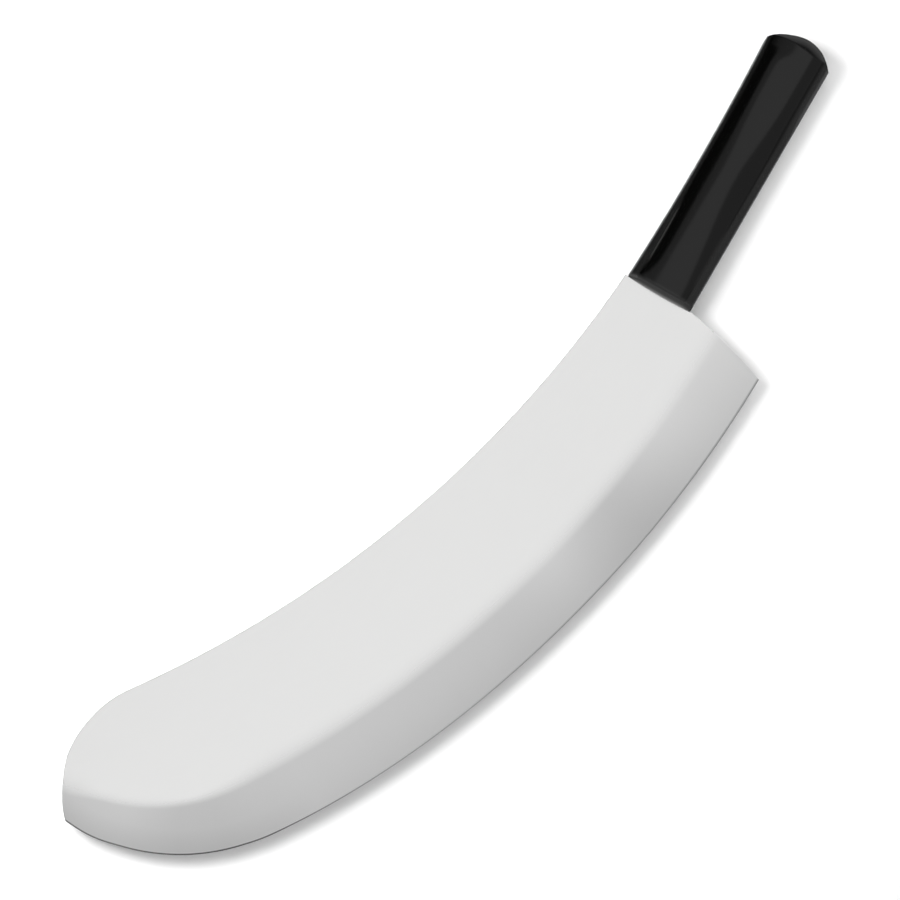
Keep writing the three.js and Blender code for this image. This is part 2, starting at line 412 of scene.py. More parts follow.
@dataclass(frozen=True)
class Crescent:
    """The blade's outline, drawn from the point where the handle's axis leaves the handle's front."""

    front: complex
    grip_half: float = 0.01715
    reach: float = 0.362
    spine_radius: float = 0.567
    spine_tilt: float = 4.1
    spine_step: float = 0.0014
    heel_drop: float = 0.045
    heel_setback: float = 0.013
    belly_radius: float = 0.578
    belly_tilt: float = 1.0
    toe_radius: float = 0.100
    nose_radius: float = 0.053
    tip_rise: float = 0.0055
    swell: float = 0.00125
    swell_start: float = -0.016
    swell_span: float = 0.216
    swell_lead: float = 0.6
    toe_swell: float = 0.00055
    toe_swell_start: float = -0.1065
    toe_swell_span: float = 0.031
    nose_flat: float = 0.00065
    nose_flat_depths: Pair = (0.0015, 0.0265)
    brow_flat: float = 0.0005
    heel_reach: float = 0.0013
    heel_bow: float = 0.0012

    @staticmethod
    def _above(point: complex, radius: float, tilt: float) -> complex:
        """Centre of a circle through a point where its tangent is tilted, in degrees, from the axis."""
        return point + radius * cmath.exp(1j * math.radians(90 - tilt))

    @cached_property
    def heel(self) -> complex:
        """The heel corner."""
        return self.front - complex(self.heel_setback, self.grip_half + self.heel_drop)

    @cached_property
    def heel_top(self) -> complex:
        """Where the heel edge meets the handle's lower side."""
        return self.front - 1j * self.grip_half

    @cached_property
    def spine_start(self) -> complex:
        """Where the spine meets the handle."""
        return self.front + 1j * (self.grip_half + self.spine_step)

    @cached_property
    def belly(self) -> complex:
        """Centre of the belly's curve."""
        return self._above(self.heel, self.belly_radius, self.belly_tilt)

    @cached_property
    def spine(self) -> complex:
        """Centre of the spine's hollow curve."""
        return self._above(self.spine_start, self.spine_radius, self.spine_tilt)

    @cached_property
    def toe(self) -> complex:
        """Centre of the toe's curve."""
        x = self.front.real - self.reach + self.toe_radius
        drop = math.sqrt((self.belly_radius - self.toe_radius) ** 2 - (self.belly.real - x) ** 2)
        return complex(x, self.belly.imag - drop)

    @cached_property
    def tip(self) -> complex:
        """The sharp corner between toe and nose."""
        return self.toe + complex(-math.sqrt(self.toe_radius**2 - self.tip_rise**2), self.tip_rise)

    @cached_property
    def nose(self) -> complex:
        """Centre of the nose's curve."""
        return circles_meet(self.tip, self.nose_radius, self.spine, self.spine_radius + self.nose_radius)

    @cached_property
    def toe_way(self) -> complex:
        """Unit direction from the belly's centre to where the belly becomes the toe."""
        return (self.toe - self.belly) / abs(self.toe - self.belly)

    @cached_property
    def nose_end(self) -> complex:
        """Where the nose becomes the spine."""
        return self.spine + self.spine_radius * (self.nose - self.spine) / abs(self.nose - self.spine)

    @cached_property
    def toe_length(self) -> float:
        """Length of the toe's curve from the belly to the tip."""
        return self.toe_radius * abs(cmath.phase((self.tip - self.toe) / self.toe_way))

    @cached_property
    def belly_length(self) -> float:
        """Length of the belly's curve from the toe to the heel."""
        return self.belly_radius * abs(cmath.phase((self.heel_corner - self.belly) / self.toe_way))

    @cached_property
    def heel_corner(self) -> complex:
        """The heel corner as it is ground, a little further along the belly's curve."""
        return self.belly + (self.heel - self.belly) * cmath.exp(1j * self.heel_reach / self.belly_radius)

    def swell_at(self, along: np.ndarray) -> np.ndarray:
        """How far the edge stands out of the two curves.

        Args:
            along: distances from the curves' join, towards the heel.

        Returns:
            The distance at each of them.
        """
        share = np.clip((along - self.swell_start) / self.swell_span, 0.0, 1.0) ** self.swell_lead
        toe_share = np.clip((along - self.toe_swell_start) / self.toe_swell_span, 0.0, 1.0)
        return self.swell * hump(share) + self.toe_swell * hump(toe_share)

    def nose_at(self, depth: np.ndarray) -> np.ndarray:
        """The nose's outline, a little flatter than its circle.

        Args:
            depth: depths inside the toe's curve.

        Returns:
            The points at these depths.
        """
        round_nose = circles_meet(self.toe, self.toe_radius - depth, self.nose, self.nose_radius)
        first, last = self.nose_flat_depths
        share = np.clip((depth - first) / (last - first), 0.0, 1.0)
        inward = self.nose_flat * hump(share)
        return self.toe + (round_nose - self.toe) * np.exp(1j * inward / (self.toe_radius - depth))

    def brow(self, start: complex, steps: int) -> np.ndarray:
        """The nose's upper part, a little flatter than its circle.

        Args:
            start: where it starts.
            steps: how many steps it takes to the spine.

        Returns:
            Its points, both ends included.
        """
        inward = self.brow_flat * hump(np.linspace(0.0, 1.0, steps + 1))
        circle = arc(self.nose, start, self.nose_end, steps)
        return self.nose + (circle - self.nose) * (1 - inward / self.nose_radius)

    def heel_at(self, depth: np.ndarray) -> np.ndarray:
        """The slightly bowed heel edge.

        Args:
            depth: depths inside the belly's curve.

        Returns:
            The points at these depths.
        """
        length = abs(self.heel_top - self.heel_corner)
        way = (self.heel_top - self.heel_corner) / length
        out = self.heel_corner - self.belly
        half = (out * way.conjugate()).real
        reach = -half - np.sqrt(half**2 - abs(out) ** 2 + (self.belly_radius - depth) ** 2)
        share = reach / length
        bow = self.heel_bow * 4 * share * (1 - share)
        return self.belly + (out + way * reach) * np.exp(1j * bow / (self.belly_radius - depth))

    def column(
        self, centre: complex, radius: float, end: np.ndarray, depth: np.ndarray, share: float
    ) -> np.ndarray:
        """A line of points inwards from the edge, part way from the join of toe and belly to an end.

        Args:
            centre: centre of the edge's curve there.
            radius: radius of that curve.
            end: the end's points at the depths.
            depth: depths inside the edge.
            share: which part of the way.

        Returns:
            The points at these depths.
        """
        turn = np.angle((end - centre) / self.toe_way) * share
        arm = radius + self.swell_at(radius * turn) - depth
        return centre + arm * self.toe_way * np.exp(1j * turn)


@dataclass(frozen=True)
class GroundSteel:
    """Satin steel: fine lines along the flats, coarser lines across the ground bevels, with painted
    reflection shade and highlights on the bevels and along the edge.
    """

    flat_colour: Colour = (0.90, 0.90, 0.895, 1.0)
    # Painted reflection shade on the ground bevels: at the shoulder, at the edge and at its darkest.
    bevel_shoulder_shade_colour: Colour = (0.80, 0.80, 0.80, 1.0)
    bevel_edge_shade_colour: Colour = (0.65, 0.65, 0.65, 1.0)
    bevel_deep_shade_colour: Colour = (0.45, 0.45, 0.45, 1.0)
    # Painted highlight along the honed facet.
    honed_highlight_colour: Colour = (0.78, 0.78, 0.78, 1.0)
    # Painted shade: the dark line along the cutting edge and the nose.
    edge_line_shade_colour: Colour = (0.08, 0.08, 0.08, 1.0)
    stain_colour: Colour = (0.62, 0.62, 0.63, 1.0)
    honed_width: float = 0.0010
    honed_overlap: float = 1.2
    honed_crispness: float = 5.0
    # Width, fade and reach of the painted dark line along the edge, wider and stronger at the toe.
    edge_line_shade_width: float = 0.0004
    edge_line_shade_fade: float = 1.5
    edge_line_shade_zone: float = 0.08
    edge_line_shade_least: float = 0.52
    # Painted reflection shade: waves of darker bevel near the heel.
    wave_length: float = 0.016
    wave_start: float = 0.208
    wave_depth: float = 0.3
    wave_mean: float = 0.43
    wave_from: float = 0.14
    wave_span: float = 0.05
    # Painted shade on the bevel: towards the shoulder, over the toe and in a band along the toe's edge.
    shoulder_depth: float = 0.2
    toe_zone: float = 0.025
    toe_depth: float = 0.42
    toe_band: float = 0.012
    toe_band_depth: float = 0.5
    # Painted highlight: the bevel lighter near the heel and most at its corner.
    heel_zone: float = 0.09
    heel_lift: float = 0.75
    heel_least: float = 0.4
    corner_lift: float = 0.27
    # Painted shade along the lower part of the nose past the tip.
    nose_shade_reach: float = 0.009
    nose_shade_depth: float = 0.45
    flat_roughness: float = 0.24
    bevel_roughness: float = 0.34
    line_roughness: float = 0.06
    smudge_roughness: float = 0.02
    line_width: float = 0.00018
    line_length: float = 0.016
    line_depth: float = 0.0000012
    line_detail: float = 3.0
    line_stain: float = 0.05
    bevel_line_scale: float = 0.8
    bump_strength: float = 0.6
    cloud_scale: float = 14.0
    cloud_stain: float = 0.08
    smudge_scale: float = 60.0

    def make(self, crescent: Crescent, bevel_width: float) -> bpy.types.Material:
        """Makes the finish.

        Args:
            crescent: the outline that the grinding lines follow.
            bevel_width: width of the ground bevel along the belly.

        Returns:
            The material.
        """
        material, plan = new_finish("ground_steel")
        place = plan.field("ShaderNodeTexCoord", None, None, "Object")
        bevel, along, across = (plan.attribute(name) for name in ("bevel", "along", "across"))
        x, y, z = plan.parts(place)
        spot = plan.vector(x, y)

        radius = plan.measure("DISTANCE", spot, flat_vector(crescent.belly))
        angle = plan.math("ARCTAN2", x - crescent.belly.real, crescent.belly.imag - y)
        swing = angle * crescent.belly_radius
        flat_place = plan.vector(radius / self.line_width, swing / self.line_length, z / self.line_width)
        bevel_place = plan.vector(along / self.line_width, across / self.line_length, z / self.line_length)
        flat_lines = plan.noise(flat_place, detail=self.line_detail)
        bevel_lines = plan.noise(bevel_place, self.bevel_line_scale, self.line_detail)
        lines = flat_lines + bevel * (bevel_lines - flat_lines)
        cloud = plan.noise(place, self.cloud_scale, self.line_detail)
        smudge = plan.noise(place, self.smudge_scale)

        toe = ((self.toe_zone - along) / (2 * self.toe_zone)).share()
        heel = ((along - crescent.belly_length) / self.heel_zone + 1).share()
        depth = (across / bevel_width).share()
        # Painted reflection shade on the bevel.
        ground = self._bevel_tone(plan, along, across, depth, toe)
        # Painted highlight: near the heel the bevel is lightened towards the flats' colour.
        heel_highlight = heel * (self.heel_least + (1 - self.heel_least) * depth) * self.heel_lift
        heel_highlight = heel_highlight + heel * heel * heel * (1 - depth) * self.corner_lift
        ground = plan.mix(heel_highlight, ground, self.flat_colour)
        tone = plan.mix(bevel, self.flat_colour, ground)

        # Painted highlight: a light line along the honed facet.
        honed = ((self.honed_overlap - across / self.honed_width) * self.honed_crispness).share()
        tone = plan.mix(honed * bevel, tone, self.honed_highlight_colour)
        # Painted shade: a dark line along the cutting edge, wider and darker towards the toe.
        near_toe = (1 - along / self.edge_line_shade_zone).share()
        edge_line_shade = (self.edge_line_shade_fade - across / (self.edge_line_shade_width * (1 + toe))).share()
        edge_line_shade = edge_line_shade * (self.edge_line_shade_least + (1 - self.edge_line_shade_least) * near_toe)
        tone = plan.mix(edge_line_shade * bevel, tone, self.edge_line_shade_colour)
        # Painted shade: a dark line along the nose's lower edge, just past the tip.
        nose = crescent.nose_radius - plan.measure("DISTANCE", spot, flat_vector(crescent.nose))
        past_tip = (1 - (along + crescent.toe_length) / self.nose_shade_reach).share()
        low_nose = (1 - across / self.nose_shade_reach).share()
        nose_shade = (self.edge_line_shade_fade - nose / self.edge_line_shade_width).share() * low_nose * past_tip
        tone = plan.mix(nose_shade * bevel * self.nose_shade_depth, tone, self.edge_line_shade_colour)
        stain = (cloud - NOISE_MEAN) * self.cloud_stain + (lines - NOISE_MEAN) * self.line_stain
        tone = plan.mix(stain.share(), tone, self.stain_colour)

        roughness = self.flat_roughness + bevel * (self.bevel_roughness - self.flat_roughness)
        roughness = roughness + (lines - NOISE_MEAN) * self.line_roughness
        roughness = roughness + (smudge - NOISE_MEAN) * self.smudge_roughness
        bump = plan.bump(self.bump_strength, self.line_depth, lines)
        sockets = {"Base Color": tone, "Metallic": 1.0, "Roughness": roughness, "Normal": bump}
        plan.surface("ShaderNodeBsdfPrincipled", sockets)
        return material

    def _bevel_tone(self, plan: Plan, along: Field, across: Field, depth: Field, toe: Field) -> Field:
        """Painted reflection shade on the bevel: darker to its edge, darker at the toe and in waves near the
        heel.

        Args:
            plan: the finish's tree.
            along: distance along the edge, from the join of toe and belly towards the heel.
            across: depth inside the edge.
            depth: that depth as a share of the bevel's width.
            toe: 1 on the toe and 0 on the belly.

        Returns:
            The colour.
        """
        heelward = ((along - self.wave_from) / self.wave_span).share()
        wave = (1 + plan.math("SINE", (along - self.wave_start) / self.wave_length)) / 2
        wave = self.wave_mean + heelward * (wave - self.wave_mean)
        band = 1 - (across / self.toe_band).share()
        even = depth * depth * (1 - heelward) * (1 - toe)
        shares = (
            toe * self.toe_depth + (1 - toe) * wave * self.wave_depth,
            toe * band * self.toe_band_depth,
            even * self.shoulder_depth,
        )
        ground = plan.mix(1 - depth, self.bevel_shoulder_shade_colour, self.bevel_edge_shade_colour)
        for share in shares:
            ground = plan.mix(share, ground, self.bevel_deep_shade_colour)
        return ground


@dataclass(frozen=True)
class MouldedPlastic:
    """Black moulded plastic: a smooth semi-gloss skin with faint handling marks, rougher creases and a
    painted highlight along them.
    """

    colour: Colour = (0.0009, 0.0009, 0.0009, 1.0)
    # Painted highlight colour along the creases.
    crease_highlight_colour: Colour = (0.040, 0.039, 0.038, 1.0)
    refraction: float = 1.42
    roughness: float = 0.16
    patch_roughness: float = 0.05
    scuff_roughness: float = 0.10
    rubbed_roughness: float = 0.14
    sink_scale: float = 45.0
    sink_detail: float = 1.0
    sink_height: float = 0.00002
    grain_scale: float = 1400.0
    grain_height: float = 0.000002
    patch_scale: float = 160.0
    patch_detail: float = 3.0
    patch_contrast: float = 5.0
    streak_scale: float = 90.0
    streak_fineness: float = 2600.0
    scuff_start: float = 0.66
    scuff_contrast: float = 9.0
    scuff_share: float = 0.06
    scuff_depth: float = 0.000003
    crease_patch_least: float = 0.4
    crease_highlight_share: float = 0.8
    bump_strength: float = 0.5

    def make(self) -> bpy.types.Material:
        """Makes the finish.

        Returns:
            The material.
        """
        material, plan = new_finish("moulded_plastic")
        place = plan.field("ShaderNodeTexCoord", None, None, "Object")
        x, y, z = plan.parts(place)
        sink = plan.noise(place, self.sink_scale, self.sink_detail)
        grain = plan.noise(place, self.grain_scale)
        patches = plan.noise(place, self.patch_scale, self.patch_detail)
        fine = self.streak_fineness
        streaks = plan.noise(plan.vector(x * self.streak_scale, y * fine, z * fine))
        worn_patches = ((patches - NOISE_MEAN) * self.patch_contrast).share()
        scuffs = ((streaks - self.scuff_start) * self.scuff_contrast).share() * worn_patches
        # Painted highlight along the creases, in patches; the same mask also roughens them.
        crease_sheen_and_wear = plan.attribute("crease") * (self.crease_patch_least + patches * (1 - self.crease_patch_least))
        light = crease_sheen_and_wear * self.crease_highlight_share + scuffs * self.scuff_share
        tone = plan.mix(light.share(), self.colour, self.crease_highlight_colour)
        roughness = self.roughness + (patches - NOISE_MEAN) * self.patch_roughness
        roughness = roughness + scuffs * self.scuff_roughness + crease_sheen_and_wear * self.rubbed_roughness
        height = grain * self.grain_height + sink * self.sink_height - scuffs * self.scuff_depth
        bump = plan.bump(self.bump_strength, 1.0, height)
        sockets = {"Base Color": tone, "Roughness": roughness, "IOR": self.refraction, "Normal": bump}
        plan.surface("ShaderNodeBsdfPrincipled", sockets)
        return material


@dataclass(frozen=True)
class MattePaper:
    """The studio's white paper."""

    colour: Colour = (0.93, 0.93, 0.93, 1.0)

    def make(self) -> bpy.types.Material:
        """Makes the finish.

        Returns:
            The material.
        """
        material, plan = new_finish("matte_paper")
        plan.surface("ShaderNodeBsdfDiffuse", {"Color": self.colour})
        return material


@dataclass
class Tang:
    """The flat bar in the handle, one piece with the blade, and the pocket that is moulded round it."""

    length: float = 0.112
    half_width: float = 0.01015
    end_radius: float = 0.007
    hole_count: int = 3
    hole_diameter: float = 0.009
    hole_inset: float = 0.022
    corner_steps: int = 8
    hole_points: int = 32

    def sides(self, front: complex, grown: float = 0.0) -> list[complex]:
        """The tang's outline from its upper root round its end to its lower root.

        Args:
            front: the point of the handle's axis at the tang's root.
            grown: how far the outline stands off the steel.

        Returns:
            The outline's points, the two roots included.
        """
        half = self.half_width + grown
        end = self.length + grown
        radius = self.end_radius + grown
        corner = front + complex(end - radius, half - radius)
        lower_corner = front + complex(end - radius, radius - half)
        return [
            front + complex(grown, half),
            *arc(corner, corner + 1j * radius, corner + radius, self.corner_steps),
            *arc(lower_corner, lower_corner + radius, lower_corner - 1j * radius, self.corner_steps),
            front + complex(grown, -half),
        ]

    def holes(self, front: complex, shrunk: float = 0.0) -> list[list[complex]]:
        """The lock holes.

        Args:
            front: the point of the handle's axis at the tang's root.
            shrunk: a clearance that the holes are made smaller by.

        Returns:
            A ring of points round each hole.
        """
        pitch = (self.length - 2 * self.hole_inset) / (self.hole_count - 1)
        turn = np.exp(2j * np.pi * np.arange(self.hole_points) / self.hole_points)
        radius = self.hole_diameter / 2 - shrunk
        return [list(front + self.hole_inset + i * pitch + radius * turn) for i in range(self.hole_count)]


@dataclass
class Blade:
    """The crescent blade with its tang: a blank with eased edges, then ground on both sides."""

    crescent: Crescent
    tang: Tang
    finish: bpy.types.Material
    middle: float
    thickness: float = 0.0035
    eased_edge: float = 0.00025
    bevel_width: float = 0.0305
    tip_bevel_width: float = 0.0176
    last_bevel_width: float = 0.0120
    toe_fullness: float = 1.65
    bevel_land: float = 0.0007
    honed_width: float = 0.0010
    honed_land: float = 0.0002
    straightness: float = 0.8
    crisp_shoulder: float = 0.00007
    soft_shoulder: float = 0.00032
    crisp_place: float = -0.040
    crisp_span: float = 0.050
    nose_shoulder: float = 0.0008
    nose_place: float = 0.006
    nose_span: float = 0.020
    shoulder_reach: float = 0.010
    bevel_mark: float = 0.00017
    # Painted highlight: the bevel shows paler towards the toe.
    toe_pale: float = 0.25
    pale_place: float = -0.048
    pale_span: float = 0.030
    pale_fall: float = 0.65
    toe_columns: int = 84
    belly_columns: int = 216
    ramp_rows: int = 22
    shoulder_rows: int = 40
    easing_steps: int = 3
    thin_easing: float = 0.00006
    thin_slope: float = 0.02
    brow_steps: int = 24
    spine_steps: int = 120
    settling_rounds: int = 20
    crease_angle: float = 8.0

    def build(self) -> bpy.types.Object:
        """Makes the blade.

        Returns:
            The finished piece.
        """
        piece = new_piece("blade_ground", self._blank())
        self._grinding().run(piece)
        for name in ("side", "drop"):
            piece.data.attributes.remove(piece.data.attributes[name])
        shade(piece.data, self.crease_angle)
        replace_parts(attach(piece, BODY), "blade")
        return piece

    def _depths(self, width: float) -> np.ndarray:
        """Depths of one column's points from the cutting edge to past the bevel's shoulder.

        Args:
            width: the bevel's width there.

        Returns:
            The depths, closest together at the shoulder.
        """
        ramp = np.linspace(self.honed_width, width - self.shoulder_reach, self.ramp_rows + 1)
        shoulder = np.linspace(ramp[-1], width + self.shoulder_reach, self.shoulder_rows + 1)
        return np.concatenate([[0.0, self.honed_width / 2], ramp, shoulder[1:]])

    def _nose_width(self) -> float:
        """Finds the bevel's width where its shoulder runs out at the nose.

        Returns:
            The width.
        """
        shape = self.crescent
        width = self.tip_bevel_width
        for _ in range(self.settling_rounds):
            turn = np.angle((shape.nose_at(width) - shape.toe) / shape.toe_way)
            past_tip = (shape.toe_radius * turn + shape.toe_length) / self.bevel_width
            width = self.tip_bevel_width + (self.tip_bevel_width - self.last_bevel_width) * past_tip
        return width

    def _grid(self) -> tuple[np.ndarray, np.ndarray]:
        """Points of the ground band, one column for each step along the edge from the tip to the heel.

        Returns:
            The points and their depths inside the edge.
        """
        shape = self.crescent
        narrowing = self.bevel_width - self._nose_width()
        points = []
        depths = []
        for step in range(self.toe_columns):
            share = 1 - step / self.toe_columns
            width = self.bevel_width - narrowing * share**self.toe_fullness
            depth = self._depths(width + shape.swell_at(-shape.toe_length * share))
            points.append(shape.column(shape.toe, shape.toe_radius, shape.nose_at(depth), depth, share))
            depths.append(depth)
        for step in range(self.belly_columns + 1):
            share = step / self.belly_columns
            depth = self._depths(self.bevel_width + shape.swell_at(shape.belly_length * share))
            points.append(shape.column(shape.belly, shape.belly_radius, shape.heel_at(depth), depth, share))
            depths.append(depth)
        return np.array(points), np.array(depths)

    def _rim(self, grid: np.ndarray, depths: np.ndarray) -> tuple[np.ndarray, np.ndarray, np.ndarray]:
        """The outline apart from the cutting edge, from the tip over the spine and the tang to the heel.

        Args:
            grid: points of the ground band.
            depths: their depths.

        Returns:
            Points, outward mitres and easings.
        """
        shape = self.crescent
        nose_rows = grid[0]
        heel_rows = grid[-1][::-1]
        rest = [
            *shape.brow(nose_rows[-1], self.brow_steps)[1:],
            *arc(shape.spine, shape.nose_end, shape.spine_start, self.spine_steps)[1:],
            *self.tang.sides(shape.front),
            shape.heel_top,
        ]
        points = np.array([*nose_rows, *rest, *heel_rows])
        way = np.diff(points)
        left = 1j * way / np.abs(way)
        before = np.append(left[:1], left)
        after = np.append(left, left[-1:])
        mitre = (before + after) / (1 + (before * after.conj()).real)
        nose_easing = self.thin_easing + self.thin_slope * depths[0]
        heel_easing = self.thin_easing + self.thin_slope * depths[-1][::-1]
        easing = np.concatenate([nose_easing, np.full(len(rest), self.eased_edge), heel_easing])
        return points, mitre, np.minimum(easing, self.eased_edge)

    def _blank(self) -> bpy.types.Mesh:
        """The blank with its tang, still of one thickness.

        Returns:
            A closed mesh that keeps, for each vertex, its side and its drop below that side.
        """
        grid, depths = self._grid()
        rim, mitre, easing = self._rim(grid, depths)
        grid[0] -= (mitre * easing)[: grid.shape[1]]
        grid[-1] -= (mitre * easing)[-grid.shape[1] :][::-1]
        bm = bmesh.new()
        side_layer = bm.verts.layers.float.new("side")
        drop_layer = bm.verts.layers.float.new("drop")

        def vertex(point: complex, side: Side, drop: float = 0.0) -> Vertex:
            """Makes a vertex.

            Args:
                point: its place in the blade's plane.
                side: the side that it belongs to.
                drop: how far below that side it lies.

            Returns:
                The vertex.
            """
            level = self.middle + side.value * (self.thickness / 2 - drop)
            made = bm.verts.new((point.real, point.imag, level))
            made[side_layer] = side.value
            made[drop_layer] = drop
            return made

        bands: dict[Side, list[list[Vertex]]] = {}
        brinks: dict[Side, list[list[Vertex]]] = {}
        holes: dict[Side, list[list[Vertex]]] = {}
        last = grid.shape[1] - 1
        for side in Side:
            band = [[vertex(point, side) for point in column] for column in grid]
            inner = [vertex(p, side) for p in (rim - mitre * easing)[last + 1 : len(rim) - last - 1]]
            brink = [*band[0], *inner, *band[-1][::-1]]
            rings = [[vertex(p, side) for p in ring] for ring in self.tang.holes(self.crescent.front)]
            add_quads(bm, band)
            top = [column[-1] for column in band]
            loop = list(dict.fromkeys([*top, *brink[last : len(rim) - last - 1][::-1]]))
            edges = ring_edges(bm, loop, *rings)
            bmesh.ops.triangle_fill(bm, use_beauty=True, edges=edges, normal=(0, 0, side.value))
            bands[side] = band
            holes[side] = rings
            brinks[side] = self._eased(vertex, side, rim, mitre, easing, brink)

        skirt = [upper + lower[::-1] for upper, lower in zip(brinks[Side.UPPER], brinks[Side.LOWER])]
        add_quads(bm, skirt)
        bm.faces.new(skirt[0])
        bm.faces.new(skirt[-1])
        add_quads(bm, [[column[0] for column in bands[side]] for side in Side])
        for upper, lower in zip(holes[Side.UPPER], holes[Side.LOWER]):
            add_quads(bm, [[*upper, upper[0]], [*lower, lower[0]]])
        return closed_mesh("blade_blank", bm)

    def _eased(
        self,
        vertex: Callable[[complex, Side, float], Vertex],
        side: Side,
        rim: np.ndarray,
        mitre: np.ndarray,
        easing: np.ndarray,
        brink: Sequence[Vertex],
    ) -> list[list[Vertex]]:
        """Rounds one side's brink over to the wall.

        Args:
            vertex: makes a vertex of a side.
            side: which side.
            rim: the outline.
            mitre: its outward mitres.
            easing: the rounding's radius at each point.
            brink: the side's own vertices along the outline.

        Returns:
            For each point of the outline, the vertices from the side to the wall.
        """
        angles = [math.radians(90 * step / self.easing_steps) for step in range(1, self.easing_steps + 1)]
        return [
            [
                start,
                *(vertex(p - m * e * (1 - math.sin(a)), side, e * (1 - math.cos(a))) for a in angles),
            ]
            for p, m, e, start in zip(rim, mitre, easing, brink)
        ]

    def _sizes(self) -> dict[str, float | Triple]:
        """The sizes that the grind goes by.

        Returns:
            Values by the names of the tree's inputs.
        """
        grind = """
            thickness middle bevel_width tip_bevel_width last_bevel_width toe_fullness bevel_land
            honed_width honed_land straightness crisp_shoulder soft_shoulder crisp_place crisp_span
            nose_shoulder nose_place nose_span bevel_mark toe_pale pale_place pale_span pale_fall
        """
        outline = """
            swell swell_start swell_span swell_lead toe_swell toe_swell_start toe_swell_span
            belly_radius toe_radius toe_length
        """
        shape = self.crescent
        return {
            **titled(self, grind),
            **titled(shape, outline),
            "Belly Centre": flat_vector(shape.belly),
            "Toe Centre": flat_vector(shape.toe),
            "Toe Way": flat_vector(shape.toe_way),
            "Belly Way": flat_vector(1j * shape.toe_way),
        }

    def _grinding(self) -> GeometryPlan:
        """The rule of the grind: each point's height follows from its depth inside the cutting edge.

        Returns:
            The tree that lowers both sides to the bevels and records where they are.
        """
        plan = GeometryPlan("grind_bevels", self._sizes())
        size = plan.size
        x, y, _ = plan.parts(plan.field("GeometryNodeInputPosition"))
        spot = plan.vector(x, y)

        def swing(centre: str) -> Field:
            """Angle about a centre, from the ray where toe and belly join, towards the heel."""
            arm = plan.field("ShaderNodeVectorMath", {"operation": "SUBTRACT"}, {0: spot, 1: size(centre)})
            return plan.math(
                "ARCTAN2",
                plan.measure("DOT_PRODUCT", arm, size("Belly Way")),
                plan.measure("DOT_PRODUCT", arm, size("Toe Way")),
            )

        toe_along = swing("Toe Centre") * size("Toe Radius")
        belly_along = swing("Belly Centre") * size("Belly Radius")
        on_toe = plan.math("LESS_THAN", toe_along, 0.0)
        toe_depth = size("Toe Radius") - plan.measure("DISTANCE", spot, size("Toe Centre"))
        belly_depth = size("Belly Radius") - plan.measure("DISTANCE", spot, size("Belly Centre"))
        along = belly_along + on_toe * (toe_along - belly_along)
        past_start = ((along - size("Swell Start")) / size("Swell Span")).share()
        lead = plan.math("POWER", past_start, size("Swell Lead"))
        near_tip = ((along - size("Toe Swell Start")) / size("Toe Swell Span")).share()
        swell = size("Swell") * hump(lead) + size("Toe Swell") * hump(near_tip)
        depth = belly_depth + on_toe * (toe_depth - belly_depth) + swell

        full = size("Bevel Width")
        tip = size("Tip Bevel Width")
        last = size("Last Bevel Width")
        to_tip = (-toe_along / size("Toe Length")).share()
        round_toe = full - (full - tip) * plan.math("POWER", to_tip, size("Toe Fullness"))
        past_tip = (toe_along + size("Toe Length")).at_most(0.0) / full
        width = full.at_most(round_toe) + (tip - last) * past_tip + swell

        half = size("Thickness") / 2
        land = size("Bevel Land") / 2
        straight = size("Straightness")

        def ramp(share: Field) -> Field:
            """Height of the slightly full bevel at a share of its width."""
            rest = 1 - share.at_most(1.0)
            return land + (half - land) * (straight * share + (1 - straight) * (1 - rest * rest))

        apart = plan.math("ABSOLUTE", along - size("Crisp Place"))
        farness = (apart / size("Crisp Span")).share()
        softness = size("Crisp Shoulder") + farness * (size("Soft Shoulder") - size("Crisp Shoulder"))
        to_nose = (1 - (along + size("Toe Length") + size("Nose Place")) / size("Nose Span")).share()
        softness = softness + to_nose * to_nose * (size("Nose Shoulder") - softness)
        body = plan.math("SMOOTH_MIN", ramp(depth / width), half, softness)
        mark = size("Bevel Mark") * (softness / size("Soft Shoulder")).at_least(1.0)
        honed_land = size("Honed Land") / 2
        honed_top = ramp(size("Honed Width") / width)
        honed = honed_land + (honed_top - honed_land) * depth / size("Honed Width")
        height = body.at_most(honed)

        side, drop = (
            plan.field(
                "GeometryNodeInputNamedAttribute", {"data_type": "FLOAT"}, {"Name": name}, "Attribute"
            )
            for name in ("side", "drop")
        )
        level = size("Middle") + side * (height - drop)
        ground = half - body
        # Painted highlight: the bevel's mark is weakened towards the toe, so the bevel there takes more of
        # the flats' colour.
        toeward = ((size("Pale Place") - along) / size("Pale Span")).share()
        pale = size("Toe Pale") * toeward * (1 - size("Pale Fall") * ground / (half - land))
        records = {"bevel": (ground / mark).share() * (1 - pale), "along": along, "across": depth}
        geometry = size("Geometry")
        for name, value in records.items():
            geometry = plan.field(
                "GeometryNodeStoreNamedAttribute",
                {"data_type": "FLOAT", "domain": "POINT"},
                {"Geometry": geometry, "Name": name, "Value": value},
            )
        moved = plan.field(
            "GeometryNodeSetPosition", None, {"Geometry": geometry, "Position": plan.vector(x, y, level)}
        )
        plan.close(moved, self.finish)
        return plan


def ring_edges(bm: bmesh.types.BMesh, *rings: Sequence[Vertex]) -> list[bmesh.types.BMEdge]:
    """Edges round rings of vertices, made where there are none."""
    pairs = [pair for ring in rings for pair in zip(ring, [*ring[1:], ring[0]])]
    return [bm.edges.get(pair) or bm.edges.new(pair) for pair in pairs]


def add_quads(bm: bmesh.types.BMesh, lines: Sequence[Sequence[Vertex]]) -> None:
    """Fills the strips between each line of vertices and the next with quads."""
    for first, second in zip(lines, lines[1:]):
        for i in range(len(first) - 1):
            bm.faces.new((first[i], second[i], second[i + 1], first[i + 1]))


